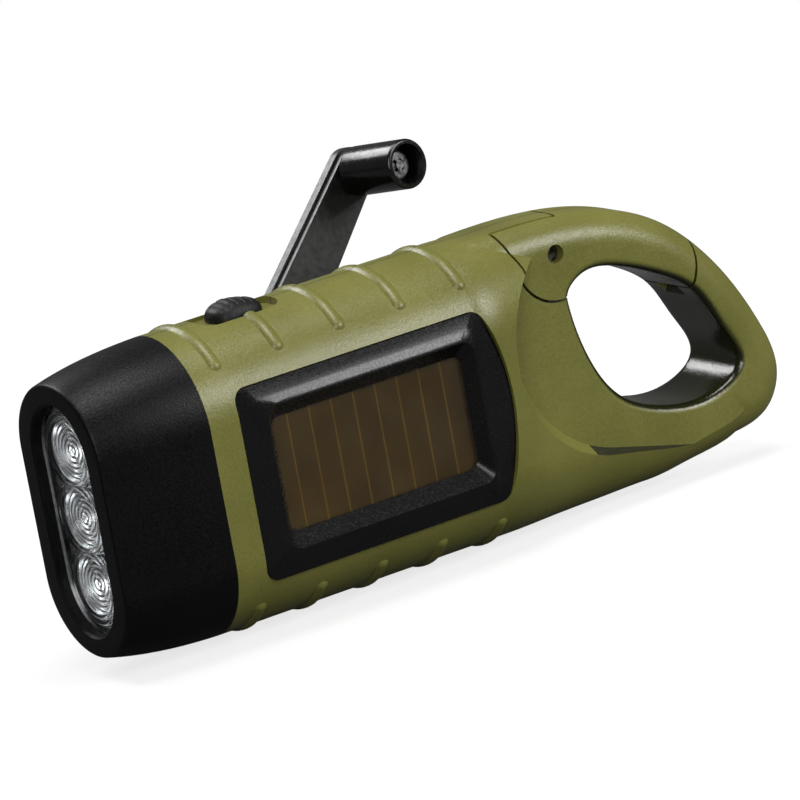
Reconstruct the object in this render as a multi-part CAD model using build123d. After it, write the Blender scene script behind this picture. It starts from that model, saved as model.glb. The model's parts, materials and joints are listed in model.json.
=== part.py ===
from build123d import *
import math
import os

# Hand crank flashlight with a solar panel and a carabiner grip, in millimetres.
# Origin: centre of the flat front rim. +X runs back to the carabiner, -Y is the solar panel's
# side, +Y is the crank's side, and +Z is the side of the thumb switch.

# ---- driving dimensions -------------------------------------------------------------------

# casing: a section with flat sides and elliptical ends
half_width = 15.45
half_height = 26.47
flat_half = 11.47
wall = 2.0
head_length = 20.7
barrel_end = 80.0
cavity_end = 80.0
part_gap = 0.5
fit_gap = 0.15
running_gap = 0.05

# head
rim_half_width = 13.07
rim_half_height = 23.8
mouth_half_width = 8.8
mouth_half_height = 20.2
lens_recess = 1.9
lens_thick = 1.3
flange_lap = 1.4
lamp_pitch = 11.7
lamp_radius = 5.6
reflector_depth = 7.0
board_thick = 1.2
led_radius = 2.5
spigot_length = 7.9
spigot_wall = 1.8

# ribs round the barrel
rib_first = 25.9
rib_pitch = 12.44
rib_count = 5
rib_radius = 1.6
rib_height = 0.55
rib_end = 20.7

# carabiner ring
ring_half = 8.2
ring_round = 5.6
eye_round = 1.6
eye_center = (115.0, 0.0)
ring_length = 142.3
cheek_center = (108.5, 5.0)
cheek_radius = 22.0
cheek_nose = (125.0, -6.5)
nose_radius = 15.0
cheek_slope = 30.0

# gate
pin_place = (98.1, 20.1)
pin_radius = 1.5
pin_hole_radius = 1.65
pin_half_length = 6.6
gate_hinge_radius = 8.0
gate_reach = 29.9
lug_radius = 5.8
lug_half = 4.0
tongue_half = 2.6
tongue_length = 2.2
spring_radius = 3.0

# solar panel
frame_start = 26.6
frame_end = 77.2
frame_half = 16.8
frame_bulge = 2.9
rim_start = 28.7
rim_end = 74.7
rim_half = 14.6
rim_proud = -0.1
ridge_start = 31.4
ridge_end = 73.9
ridge_half = 12.8
ridge_proud = 0.55
window_start = 33.5
window_end = 72.0
window_half = 10.0
window_depth = 2.5
window_thick = 0.8
cell_thick = 1.1

# thumb switch
slot_start = 29.5
slot_end = 45.4
slot_half = 4.5
slot_depth = 1.3
slot_corner = 3.0
grip_nose = [(33.0, 26.9), (33.9, 28.9), (35.6, 29.5)]
grip_tail = (43.1, 26.8)
grip_grooves = 4
grip_crown = 17.0
switch_travel = 3.2

# crank
hub_x = 43.8
hinge_y = 17.3
crank_lean = 47.4
crank_lift = 12.0
stow_lean = 103.0
arm_length = 54.0
arm_thick = 3.0
arm_root_width = 12.2
arm_tip_width = 8.8
arm_lip = 0.5
knob_radius = 4.4
knob_length = 13.9
knob_bore = 3.5
knob_bore_depth = 4.4
stem_radius = 2.0
hinge_pin_radius = 1.0
knuckle_radius = 1.9
knuckle_half = 3.6
ear_thick = 2.4
hub_radius = 10.2
hub_thick = 0.85
hub_recess = 1.4
hub_shaft_radius = 2.5

# gear train
module = 0.5
crank_teeth = 48
wheel_one_teeth = 36
wheel_two_teeth = 32
pinion_teeth = 16
face_width = 2.0
tooth_backlash = 0.12
gear_top = 12.1
level_step = 2.8
axle_radius = 0.75
train_turns = (0.0, 50.0, -90.0)

# generator
magnet_radius = 6.6
magnet_length = 6.0
air_gap = 0.6
can_radius = 11.0
can_wall = 0.8
rotor_shaft_radius = 1.0
plate_thick = 1.4

# boards and cells
main_board_y = -8.8
cell_radius = 7.75
cell_height = 5.8
cell_count = 3
battery_x = 33.0
battery_top = 8.7
screw_radius = 1.2
screw_head_radius = 2.4
screw_places = [(26.5, 17.6), (26.5, -17.6), (80.5, 19.5), (80.5, -19.5), (124.0, -19.0)]

# ---- places worked out from them ------------------------------------------------------------

end_round = half_height - flat_half
inner_y = half_width - wall
gear_levels = [gear_top - face_width - i * level_step for i in range(3)]
plate_top = gear_levels[2] - 0.4
lean = math.radians(crank_lean)
lift = math.radians(crank_lift)


def pitch_radius(teeth):
    return module * teeth / 2


def step_from(place, distance, degrees):
    turn = math.radians(degrees)
    return (place[0] + distance * math.cos(turn), place[1] + distance * math.sin(turn))


hub_place = (hub_x, 0.0)
small = pitch_radius(pinion_teeth)
one_place = step_from(hub_place, pitch_radius(crank_teeth) + small, train_turns[0])
two_place = step_from(one_place, pitch_radius(wheel_one_teeth) + small, train_turns[1])
rotor_place = step_from(two_place, pitch_radius(wheel_two_teeth) + small, train_turns[2])

spring_half = 1.9
spigot_half = half_width - 2.55
spigot_rise = half_height - 2.57 - flat_half
slot_floor = half_height - slot_depth
stem_x = (grip_nose[0][0] + grip_tail[0]) / 2
grip_half = slot_half - 0.3
switch_board_z = 15.9
switch_case_top = 20.6
lever_half = 0.8
bezel_front = lens_recess + flange_lap
flange_half_width = mouth_half_width + flange_lap
flange_half_height = mouth_half_height + flange_lap
reflector_x = bezel_front + lens_thick
lamp_heights = [lamp_pitch, 0.0, -lamp_pitch]
frame_seat = half_width - 1.45
frame_edge = half_width - 0.55
window_front = half_width + ridge_proud - window_depth
tub_start = window_start - 1.8
tub_end = window_end + 1.8
tub_half = window_half + 1.8
tub_back = window_front - window_thick - cell_thick
board_start = 24.6
board_end = 79.6
arm_start = 6.2
ear_radius = 2.6
disc_low = half_width - hub_recess + fit_gap
bearing_y = gear_top + fit_gap
knob_tip = arm_thick / 2 + 0.3 + knob_length
stem_top = knob_tip - knob_bore_depth + 0.15
knob_screw_radius = 0.8
hub_screw_radius = 1.0
washer_thick = 0.6
plate_screw_radius = 0.9
plate_posts = [(54.0, 16.0), (54.0, -12.3), (77.6, -11.8)]
axle_top = inner_y - 0.4
can_low = plate_top - plate_thick - 8.9
magnet_high = plate_top - plate_thick - 1.7
screw_seat = 2.6


# ---- small helpers ---------------------------------------------------------------------------

def cylinder_y(place, radius, low, high):
    """A cylinder along Y, centred on an (x, z) place, from y = low to y = high."""
    plane = Plane(origin=(place[0], low, place[1]), x_dir=(1, 0, 0), z_dir=(0, 1, 0))
    return extrude(plane * Circle(radius), high - low)


def ring_y(place, outer, inner, low, high):
    return cylinder_y(place, outer, low, high) - cylinder_y(place, inner, low - 1, high + 1)


def block(x_low, x_high, y_low, y_high, z_low, z_high):
    size = (x_high - x_low, y_high - y_low, z_high - z_low)
    middle = ((x_low + x_high) / 2, (y_low + y_high) / 2, (z_low + z_high) / 2)
    return Pos(*middle) * Box(*size)


def prism_y(edges, low, high):
    """The closed outline of edges in the XZ plane (as x, z pairs), from y = low to y = high."""
    flat = make_face(Wire(edges))
    turned = Plane(origin=(0, 0, 0), x_dir=(1, 0, 0), z_dir=(0, -1, 0)) * flat
    return Pos(0, low, 0) * extrude(turned, high - low, dir=(0, 1, 0))


def section_face(x, width, top, bottom, rise):
    """Flat sides closed by half ellipses of height rise, in the plane at x."""
    high, low = top - rise, bottom + rise
    plane = Plane(origin=(x, 0, 0), x_dir=(0, 1, 0), z_dir=(1, 0, 0))
    sides = [
        Line((width, low), (width, high)),
        EllipticalCenterArc((0, high), width, rise, start_angle=0, arc_size=180),
        Line((-width, high), (-width, low)),
        EllipticalCenterArc((0, low), width, rise, start_angle=180, arc_size=180),
    ]
    return plane * make_face(Wire(sides))


def barrel(x_low, x_high, inset):
    """The casing's own section, drawn in by inset."""
    height = half_height - inset
    face = section_face(x_low, half_width - inset, height, -height, end_round - inset)
    return extrude(face, x_high - x_low, dir=(1, 0, 0))


def only_solid(shape):
    """The largest solid of a result, without the slivers that a cut leaves."""
    return max(shape.solids(), key=lambda s: s.volume)


# ---- casing -----------------------------------------------------------------------------------

def ring_outline():
    """Side view of the carabiner without its eye, closed inside the barrel's end."""
    tip = ring_length - 0.2
    return [
        Spline(
            (barrel_end + 4, half_height - 0.2),
            (97.9, 26.2),
            (110.9, 24.2),
            (122.9, 18.9),
            (132.0, 10.1),
            (140.1, -3.9),
            (tip, -13.8),
            (138.5, -20.1),
            (128.0, -22.7),
            (112.0, -23.5),
            (98.0, -22.9),
            (barrel_end, -20.5),
            (barrel_end - 10, 0),
            (barrel_end - 6, half_height - 7),
            periodic=True,
        )
    ]


def eye_outline(grow):
    """Side view of the eye, with each point moved out from the eye's middle by grow."""
    points = [
        (99.6, 11.4),
        (102.0, 0.1),
        (107.3, -8.3),
        (116.3, -12.5),
        (125.9, -12.9),
        (132.2, -9.0),
        (129.6, -1.6),
        (125.3, 5.9),
        (118.2, 10.9),
        (109.8, 14.6),
        (102.6, 14.7),
    ]
    moved = []
    for x, z in points:
        reach = math.hypot(x - eye_center[0], z - eye_center[1])
        scale = 1 + grow / reach
        moved.append((eye_center[0] + (x - eye_center[0]) * scale, eye_center[1] + (z - eye_center[1]) * scale))
    return [Spline(*moved, periodic=True)]


def ring_plate():
    """The carabiner's ring, rounded outside and along its eye."""
    plate = prism_y(ring_outline(), -ring_half, ring_half)
    plate = fillet(rim_edges(plate), ring_round)
    outside = rim_edges(plate)
    plate -= eye_cutter(0)
    rims = [e for e in rim_edges(plate) if not any(same_box(e, old) for old in outside)]
    return fillet(rims, eye_round)


def rim_edges(plate):
    return [e for e in plate.edges() if abs(abs(e.center().Y) - ring_half) < 0.01]


def same_box(edge, other):
    return abs(edge.bounding_box().diagonal - other.bounding_box().diagonal) < 0.01


def eye_cutter(grow):
    return prism_y(eye_outline(grow), -half_width - 2, half_width + 2)


def fat_tail():
    """The barrel's section drawn in and down to the ring's thickness."""
    stations = [
        (barrel_end - 4, half_width, half_height, -half_height, end_round),
        (barrel_end, half_width, half_height, -half_height, end_round),
        (barrel_end + 6, 13.6, 26.1, -26.5, 14.0),
        (barrel_end + 12, 11.8, 24.8, -26.4, 12.6),
        (barrel_end + 20, 10.4, 21.8, -26.3, 11.2),
        (barrel_end + 30, 9.6, 17.0, -26.1, 9.8),
        (barrel_end + 38, 9.4, 10.0, -25.6, 9.4),
        (barrel_end + 46, 9.1, 4.0, -24.6, 9.1),
        (barrel_end + 52, 8.7, -1.0, -23.0, 8.7),
        (barrel_end + 56, 7.4, -5.0, -20.2, 7.0),
        (barrel_end + 59, 5.0, -8.0, -17.5, 4.6),
    ]
    return loft([section_face(*station) for station in stations])


def cheek_outline(grow):
    """Two round ends and their common tangents: the cheek's edge in side view, grown."""
    (x, z), (nose_x, nose_z) = cheek_center, cheek_nose
    spread = math.acos((cheek_radius - nose_radius) / math.hypot(nose_x - x, nose_z - z))
    heading = math.atan2(nose_z - z, nose_x - x)
    angles = [math.degrees(heading + spread), math.degrees(heading - spread)]
    big, round_nose = cheek_radius + grow, nose_radius + grow
    top, low = (step_from(cheek_center, big, turn) for turn in angles)
    nose_top, nose_low = (step_from(cheek_nose, round_nose, turn) for turn in angles)
    forward = math.degrees(heading)
    return [
        ThreePointArc(top, step_from(cheek_center, big, forward + 180), low),
        Line(low, nose_low),
        ThreePointArc(nose_low, step_from(cheek_nose, round_nose, forward), nose_top),
        Line(nose_top, top),
    ]


def cheek_cutter(side):
    """Sinks the ring's flat cheek into the barrel's end and its bottom, with a sloped step."""
    depth = half_width + 3 - ring_half
    faces = []
    for out in (0, depth):
        plane = Plane(origin=(0, side * (ring_half + out), 0), x_dir=(1, 0, 0), z_dir=(0, -1, 0))
        grow = out * math.tan(math.radians(cheek_slope))
        faces.append(plane * make_face(Wire(cheek_outline(grow))))
    return loft(faces, ruled=True)


def rib(x, side):
    """One half-round rib over the top (side 1) or under the bottom (side -1)."""
    sunk = rib_radius - rib_height
    wide, tall = half_width - sunk, end_round - sunk
    turn = math.degrees(math.asin((rib_end - flat_half) / tall))
    plane = Plane(origin=(x, 0, 0), x_dir=(0, 1, 0), z_dir=(1, 0, 0))
    first = turn if side > 0 else 180 + turn
    arc = EllipticalCenterArc((0, side * flat_half), wide, tall, start_angle=first, arc_size=180 - 2 * turn)
    path = plane * arc
    tube = sweep(Plane(origin=path @ 0, z_dir=path % 0) * Circle(rib_radius), path=path)
    return tube + Pos(*(path @ 0)) * Sphere(rib_radius) + Pos(*(path @ 1)) * Sphere(rib_radius)


def casing_outside():
    """Barrel, ribs and ring as one solid."""
    body = barrel(head_length, barrel_end, 0) + fat_tail()
    body -= cheek_cutter(1)
    body -= cheek_cutter(-1)
    body -= eye_cutter(2 * eye_round)
    body += ring_plate()
    for i in range(rib_count):
        for side in (1, -1):
            body += rib(rib_first + i * rib_pitch, side)
    return only_solid(body)


# ---- gate and the opening that it works in ----------------------------------------------------

def polar(radius, degrees):
    return step_from(pin_place, radius, degrees)


def sector(inner, outer, first, last, low, high):
    """A piece of a ring about the gate's pin, between two angles."""
    middle = (first + last) / 2
    edges = [
        ThreePointArc(polar(outer, first), polar(outer, middle), polar(outer, last)),
        Line(polar(outer, last), polar(inner, last)),
        ThreePointArc(polar(inner, last), polar(inner, middle), polar(inner, first)),
        Line(polar(inner, first), polar(outer, first)),
    ]
    return prism_y(edges, low, high)


def gate_region(gap, low, high):
    """The space of the gate in side view, grown by gap towards the casing."""
    left = pin_place[0] - gate_hinge_radius - gap
    outline = Polyline(
        (left, pin_place[1]),
        (left - 2.7, half_height + 2),
        (ring_length, half_height + 2),
        (ring_length, 2.0),
        (118.0, 3.0),
        (105.0, 9.0),
        polar(gate_hinge_radius, -60),
        pin_place,
        (left, pin_place[1]),
    )
    region = prism_y(outline.edges(), low, high)
    region += cylinder_y(pin_place, gate_hinge_radius + gap, low, high)
    return region & cylinder_y(pin_place, gate_reach + gap, low, high)


def lug_region(gap, low, high):
    """The casing's lug round the pin and its neck back to the barrel, grown by gap."""
    lug = cylinder_y(pin_place, lug_radius + gap, low, high)
    top_end = pin_place[0] + 3.2 + gap
    lug += block(barrel_end, top_end, low, high, pin_place[1], half_height + 2)
    under_end = top_end if gap > 0 else pin_place[0] - part_gap
    return lug + block(barrel_end, under_end, low, high, pin_place[1] - 12, pin_place[1])


def gate_and_casing(outside):
    """Splits the outside shape into the gate and what the casing keeps."""
    reach = half_width + 3
    tongue_angle = -17.0
    space = gate_region(part_gap, -reach, reach)
    lug = lug_region(0, -lug_half, lug_half) & space
    casing = outside - (space - lug)
    casing -= sector(gate_reach - 1, gate_reach + tongue_length + part_gap, -50,
                     tongue_angle + 0.6, -tongue_half - part_gap, tongue_half + part_gap)
    gate = outside & gate_region(0, -reach, reach)
    gate -= lug_region(part_gap, -lug_half - part_gap, lug_half + part_gap)
    gate += sector(gate_reach - 1, gate_reach + tongue_length, -26, tongue_angle, -tongue_half, tongue_half)
    gate -= cylinder_y(pin_place, pin_radius + running_gap, -reach, reach)
    for side in (1, -1):
        low, high = sorted((side * pin_half_length, side * reach))
        gate -= cylinder_y(pin_place, pin_hole_radius, low, high)
    casing -= cylinder_y(pin_place, pin_radius, -reach, reach)
    casing -= cylinder_y(pin_place, spring_radius + fit_gap, -spring_half, spring_half)
    return only_solid(gate), only_solid(casing)


def gate_pin():
    return cylinder_y(pin_place, pin_radius, -pin_half_length, pin_half_length)


def gate_spring():
    return ring_y(pin_place, spring_radius, pin_radius, -spring_half, spring_half)


# ---- casing shells ----------------------------------------------------------------------------

def screw_boss(place, radius, low, high):
    return cylinder_y(place, radius, low, high) & barrel(head_length, cavity_end + 2, wall / 2)


def spigot():
    """The neck that the head is pushed over."""
    height = half_height - 2.57
    outer = section_face(head_length - spigot_length, spigot_half, height, -height, spigot_rise)
    inner = section_face(head_length - spigot_length, spigot_half - spigot_wall, height - spigot_wall,
                         spigot_wall - height, spigot_rise - spigot_wall)
    length = spigot_length + wall
    return extrude(outer, length, dir=(1, 0, 0)) - extrude(inner, length + 1, dir=(1, 0, 0))


def hollow_casing(casing):
    """Cavity, spigot and the slot of the thumb switch, common to both shells."""
    casing -= barrel(head_length + wall, cavity_end, wall)
    casing -= barrel(head_length - 1, head_length + wall + 1, half_width - spigot_half + spigot_wall)
    casing += spigot()
    slot = RectangleRounded(slot_end - slot_start, 2 * slot_half, slot_corner)
    middle = (slot_start + slot_end) / 2
    casing -= extrude(Pos(middle, 0, slot_floor) * slot, 6)
    casing -= block(stem_x - switch_travel - 1.5, stem_x + 1.5, -1.5, 1.5, slot_floor - 4, slot_floor + 1)
    return casing


def shelf(side):
    """The ledge that carries the switch's board."""
    low, high = sorted((side * 7.6, side * (half_width - 1)))
    ledge = block(30, 44, low, high, switch_board_z - 1.7, switch_board_z)
    return ledge & barrel(head_length, barrel_end, wall / 2)


def left_shell(casing):
    """The half on the solar panel's side, with the panel's seat and the screws' bosses."""
    shell = casing & block(0, ring_length + 5, -half_width - 3, 0, -half_height - 3, half_height + 3)
    shell += block(frame_start - 1, frame_end + 3, -inner_y - 0.3, -inner_y + 0.7, -frame_half, frame_half) & (
        barrel(head_length, barrel_end, wall / 2)
    )
    for place in screw_places[:4]:
        shell += screw_boss(place, 2.8, -half_width, 0)
    for x in (board_start + 1.9, board_end - 1.9):
        for z in (-11.8, 11.8):
            shell += cylinder_y((x, z), 1.4, -inner_y - 0.3, main_board_y - board_thick)
    shell += shelf(-1)
    for place in screw_places:
        shell -= cylinder_y(place, screw_radius, -7.2, 1)
    shell -= prism_y(frame_outline(fit_gap), -half_width - 3, -frame_seat)
    shell -= block(tub_start - fit_gap, tub_end + fit_gap, -half_width, 0, -tub_half - fit_gap, tub_half + fit_gap) & (
        block(0, barrel_end, -half_width, -inner_y + 2, -half_height, half_height)
    )
    return only_solid(shell)


def right_shell(casing):
    """The half on the crank's side, with the hub's bearing, the posts and the knob's pocket."""
    shell = casing & block(0, ring_length + 5, 0, half_width + 3, -half_height - 3, half_height + 3)
    for place in screw_places[:4]:
        shell += screw_boss(place, 3.6, 0, half_width)
    shell += cylinder_y(hub_place, hub_radius + 2, bearing_y, inner_y + 0.3)
    shell += cylinder_y(one_place, 2.2, gear_top + 0.3, inner_y + 0.3)
    shell += cylinder_y(two_place, 2.0, gear_levels[1] + face_width + 0.3, inner_y + 0.3)
    for place in plate_posts:
        shell += cylinder_y(place, 2.0, plate_top, inner_y + 0.3)
    shell += shelf(1)
    for place in screw_places:
        shell -= cylinder_y(place, screw_head_radius + 0.2, screw_seat, half_width + 1)
        shell -= cylinder_y(place, screw_radius + 0.2, -1, screw_seat)
    for place in plate_posts:
        shell -= cylinder_y(place, plate_screw_radius, plate_top - 1, plate_top + 5)
    for place in (one_place, two_place):
        shell -= cylinder_y(place, axle_radius, 0, axle_top)
    shell -= cylinder_y(hub_place, hub_radius + 0.4, half_width - hub_recess, half_width + 3)
    shell -= cylinder_y(hub_place, hub_shaft_radius + running_gap, 0, half_width + 3)
    return only_solid(shell - knob_pocket())


def knob_pocket():
    """Where the knob lies when the arm is folded flat, with room for its swing."""
    turn = 90 - stow_lean
    near = step_from(hub_place, arm_length, turn)
    far = step_from(hub_place, arm_length + 1.7, turn)
    across = (math.sin(math.radians(turn)), -math.cos(math.radians(turn)))
    reach = knob_radius + 0.4
    corners = [
        (p[0] + side * reach * across[0], p[1] + side * reach * across[1])
        for p, side in ((near, 1), (far, 1), (far, -1), (near, -1), (near, 1))
    ]
    floor = hinge_y - knob_tip - 0.4
    pocket = prism_y(Polyline(*corners).edges(), floor, half_width + 3)
    return pocket + cylinder_y(near, reach, floor, half_width + 3) + cylinder_y(far, reach, floor, half_width + 3)


def casing_screws():
    shapes = []
    for place in screw_places:
        screw = cylinder_y(place, screw_radius, -6.5, screw_seat)
        screw += cylinder_y(place, screw_head_radius, screw_seat, screw_seat + 1.6)
        shapes.append(screw - cross_slot(place, screw_seat + 1.6, 1))
    return Compound(shapes)


def cross_slot(place, y, side):
    low, high = sorted((y - side * 0.8, y + side * 0.1))
    slot = block(place[0] - 1.4, place[0] + 1.4, low, high, place[1] - 0.3, place[1] + 0.3)
    return slot + block(place[0] - 0.3, place[0] + 0.3, low, high, place[1] - 1.4, place[1] + 1.4)


# ---- head ---------------------------------------------------------------------------------------

def head_bezel():
    outer = loft([
        section_face(0, rim_half_width, rim_half_height, -rim_half_height, 12.4),
        section_face(5, 14.1, 24.95, -24.95, 13.5),
        section_face(12, 14.95, 25.95, -25.95, 14.5),
        section_face(head_length, half_width, half_height, -half_height, end_round),
    ])
    front = [e for e in outer.edges() if abs(e.center().X) < 0.01]
    outer = fillet(front, 0.7)
    height = half_height - 2.57
    gap = 0.1
    cavity = loft([
        section_face(bezel_front, flange_half_width + 1, flange_half_height + 0.6, -flange_half_height - 0.6, 11.5),
        section_face(head_length - spigot_length, spigot_half + gap, height + gap, -height - gap, spigot_rise),
    ], ruled=True)
    cavity += extrude(section_face(head_length - spigot_length, spigot_half + gap, height + gap,
                                   -height - gap, spigot_rise), spigot_length + 1, dir=(1, 0, 0))
    mouth = extrude(section_face(-1, mouth_half_width, mouth_half_height, -mouth_half_height,
                                 mouth_half_width + 0.8), bezel_front + 2, dir=(1, 0, 0))
    bezel = outer - cavity - mouth
    lips = [e for e in bezel.edges() if abs(e.center().X) < 0.01 and abs(e.bounding_box().max.Z) < 21]
    return only_solid(chamfer(lips, 0.4)) if lips else only_solid(bezel)


def lens():
    """A flanged window with a shallow bulge over each lamp."""
    flange = extrude(section_face(bezel_front, flange_half_width, flange_half_height, -flange_half_height,
                                  10.8), lens_thick, dir=(1, 0, 0))
    plug = extrude(section_face(lens_recess, mouth_half_width - 0.1, mouth_half_height - 0.1,
                                0.1 - mouth_half_height, mouth_half_width + 0.7), bezel_front - lens_recess + 0.1,
                   dir=(1, 0, 0))
    piece = flange + plug
    rise = 0.9
    ball = (lamp_radius ** 2 + rise ** 2) / (2 * rise)
    for z in lamp_heights:
        cap = Pos(lens_recess - rise + ball, 0, z) * Sphere(ball)
        piece += cap & block(lens_recess - rise - 1, lens_recess + 0.2, -8, 8, z - 8, z + 8)
    return only_solid(piece)


def reflector():
    face = section_face(reflector_x, flange_half_width, flange_half_height, -flange_half_height, 10.8)
    piece = extrude(face, 1.0, dir=(1, 0, 0))
    turn = Plane(origin=(reflector_x, 0, 0), x_dir=(0, 1, 0), z_dir=(1, 0, 0))
    for z in lamp_heights:
        piece += extrude(turn * (Pos(0, z) * Circle(lamp_radius + 0.7)), reflector_depth, dir=(1, 0, 0))
    for z in lamp_heights:
        place = (reflector_x + reflector_depth / 2, 0, z)
        piece -= Pos(*place) * Rot(0, 90, 0) * Cone(lamp_radius - 0.05, led_radius + 0.3, reflector_depth + 0.002)
    return only_solid(piece)


def lamp(z):
    plane = Plane(origin=(reflector_x + reflector_depth, 0, z), x_dir=(0, 1, 0), z_dir=(-1, 0, 0))
    height = 2.6
    return extrude(plane * Circle(led_radius), height) + Pos(
        reflector_x + reflector_depth - height, 0, z) * Sphere(led_radius)


def lamp_board():
    width, height = spigot_half - 1.0, half_height - 3.6
    face = section_face(reflector_x + reflector_depth, width, height, -height, width)
    return extrude(face, board_thick, dir=(1, 0, 0))


# ---- solar panel --------------------------------------------------------------------------------

def frame_outline(grow):
    """Rectangle whose rear side bulges, with rounded corners."""
    left, right, half = frame_start - grow, frame_end + grow, frame_half + grow
    bulge = ThreePointArc((right - 1.2, half), (right + frame_bulge, 0), (right - 1.2, -half))
    outline = [
        Line((left, -half), (left, half)),
        Line((left, half), (right - 1.2, half)),
        bulge,
        Line((right - 1.2, -half), (left, -half)),
    ]
    face = make_face(Wire(outline))
    return fillet(face.vertices(), 2.4 + grow).edges()


def rounded(y, x_low, x_high, half, radius):
    """A rounded rectangle in the plane at y."""
    plane = Plane(origin=((x_low + x_high) / 2, y, 0), x_dir=(1, 0, 0), z_dir=(0, -1, 0))
    return plane * RectangleRounded(x_high - x_low, 2 * half, radius)


def outline_face(y, grow):
    plane = Plane(origin=(0, y, 0), x_dir=(1, 0, 0), z_dir=(0, -1, 0))
    return plane * make_face(Wire(frame_outline(grow)))


def panel_frame():
    rim_y, ridge_y = -(half_width + rim_proud), -(half_width + ridge_proud)
    rim = rounded(rim_y, rim_start, rim_end, rim_half, 1.6)
    ridge = rounded(ridge_y, ridge_start, ridge_end, ridge_half, 2.4)
    frame = prism_y(frame_outline(0), -frame_edge, -frame_seat)
    frame += loft([outline_face(-frame_edge, 0), rim], ruled=True)
    frame += loft([rim, ridge], ruled=True)
    frame += block(tub_start, tub_end, -frame_seat, -tub_back, -tub_half, tub_half)
    lip = 0.25
    frame -= loft([
        rounded(ridge_y - 0.001, ridge_start + lip, ridge_end - lip, ridge_half - lip, 2.2),
        rounded(-window_front, window_start, window_end, window_half, 1.6),
    ], ruled=True)
    frame -= extrude(rounded(-window_front - 0.5, window_start, window_end, window_half, 1.6), 2, dir=(0, 1, 0))
    frame -= block(window_start - 0.9, window_end + 0.9, -window_front, -tub_back + 1, -window_half - 0.9,
                   window_half + 0.9)
    return only_solid(frame)


def panel_sheet(front, thick):
    lap = 0.8
    return block(window_start - lap, window_end + lap, -front, thick - front, -window_half - lap, window_half + lap)


# ---- thumb switch -------------------------------------------------------------------------------

def switch_slider():
    """A sloped thumb grip with grooves across it, on a stem through the slot."""
    low = slot_floor + fit_gap
    (front, front_z), (nose_x, nose_z), (top_x, top_z) = grip_nose
    back, back_z = grip_tail
    grip = prism_y([
        Line((front, low), (front, front_z)),
        ThreePointArc((front, front_z), (nose_x, nose_z), (top_x, top_z)),
        Line((top_x, top_z), (back, back_z)),
        Line((back, back_z), (back, low)),
        Line((back, low), (front, low)),
    ], -grip_half, grip_half)
    plan = RectangleRounded(back - front, 2 * grip_half, slot_corner)
    grip &= extrude(Pos(stem_x, 0, low - 1) * plan, 10)
    slope = math.atan2(top_z - back_z, back - top_x)
    sink = grip_crown + 0.15
    middle = ((top_x + back) / 2 - sink * math.sin(slope), (top_z + back_z) / 2 - sink * math.cos(slope))
    grip &= Pos(middle[0], 0, middle[1]) * Rot(0, 90 + math.degrees(slope), 0) * Cylinder(grip_crown, 40)
    for i in range(grip_grooves):
        along = (i + 0.6) / grip_grooves
        place = (top_x + (back - top_x) * along, top_z + (back_z - top_z) * along + 0.35)
        grip -= cylinder_y(place, 0.75, -6, 6)
    stem = block(stem_x - 1.2, stem_x + 1.2, -1.2, 1.2, slot_floor - 3.3, slot_floor + 0.4)
    stem -= block(stem_x - lever_half, stem_x + lever_half, -lever_half, lever_half, slot_floor - 4, slot_floor - 1.6)
    return only_solid(grip + stem)


def switch_lever():
    return block(stem_x - lever_half, stem_x + lever_half, -lever_half, lever_half, switch_case_top - 1.6, slot_floor - 1.6)


def switch_case():
    middle = stem_x - switch_travel / 2
    case = block(middle - 5.2, middle + 5.2, -2.4, 2.4, switch_board_z + board_thick, switch_case_top)
    return case - block(middle - 3.6, middle + 3.6, -1.5, 1.5, switch_case_top - 2.2, switch_case_top + 1)


def switch_board():
    return block(30.6, 44.6, -8.6, 8.6, switch_board_z, switch_board_z + board_thick)


# ---- crank --------------------------------------------------------------------------------------

def crank_plane(tilt):
    """Origin on the fold's pin, x along the arm and z towards the knob."""
    out = (math.sin(lean), math.cos(lean))
    along = (math.cos(tilt) * out[0], math.sin(tilt), math.cos(tilt) * out[1])
    facing = (math.sin(tilt) * out[0], -math.cos(tilt), math.sin(tilt) * out[1])
    return Plane(origin=(hub_x, hinge_y, 0), x_dir=along, z_dir=facing)


def arm_face(inset):
    root, tip = arm_root_width / 2 - inset, arm_tip_width / 2 - inset
    start = arm_start + inset
    lean_in = (root - tip) / (arm_length - start)
    turn = math.atan(lean_in)
    touch = (arm_length + tip * math.sin(turn), tip * math.cos(turn))
    edges = [
        Line((start, root), touch),
        ThreePointArc(touch, (arm_length + tip, 0), (touch[0], -touch[1])),
        Line((touch[0], -touch[1]), (start, -root)),
        Line((start, -root), (start, root)),
    ]
    face = make_face(Wire(edges))
    roots = [v for v in face.vertices() if v.X < start + 0.01]
    return fillet(roots, 1.8 - inset)


def bar_y(radius, half):
    """A round bar along the local y axis, through the origin."""
    return Rot(90, 0, 0) * Cylinder(radius, 2 * half)


def crank_arm():
    half = arm_thick / 2
    arm = Pos(0, 0, -half) * extrude(arm_face(0), half + 0.2)
    arm += Pos(0, 0, 0.2) * extrude(arm_face(arm_lip), half - 0.2)
    arm += bar_y(knuckle_radius, knuckle_half)
    arm += Pos(arm_start / 2 + 0.5, 0, 0) * Box(arm_start + 1, 2 * knuckle_half, arm_thick - 0.4)
    arm += Pos(arm_length, 0, (half + stem_top) / 2) * Cylinder(stem_radius, stem_top - half)
    arm -= bar_y(hinge_pin_radius + running_gap, knuckle_half + 1)
    arm -= Pos(arm_length, 0, stem_top - 2) * Cylinder(knob_screw_radius, 8.01)
    return only_solid(crank_plane(lift) * arm)


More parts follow.
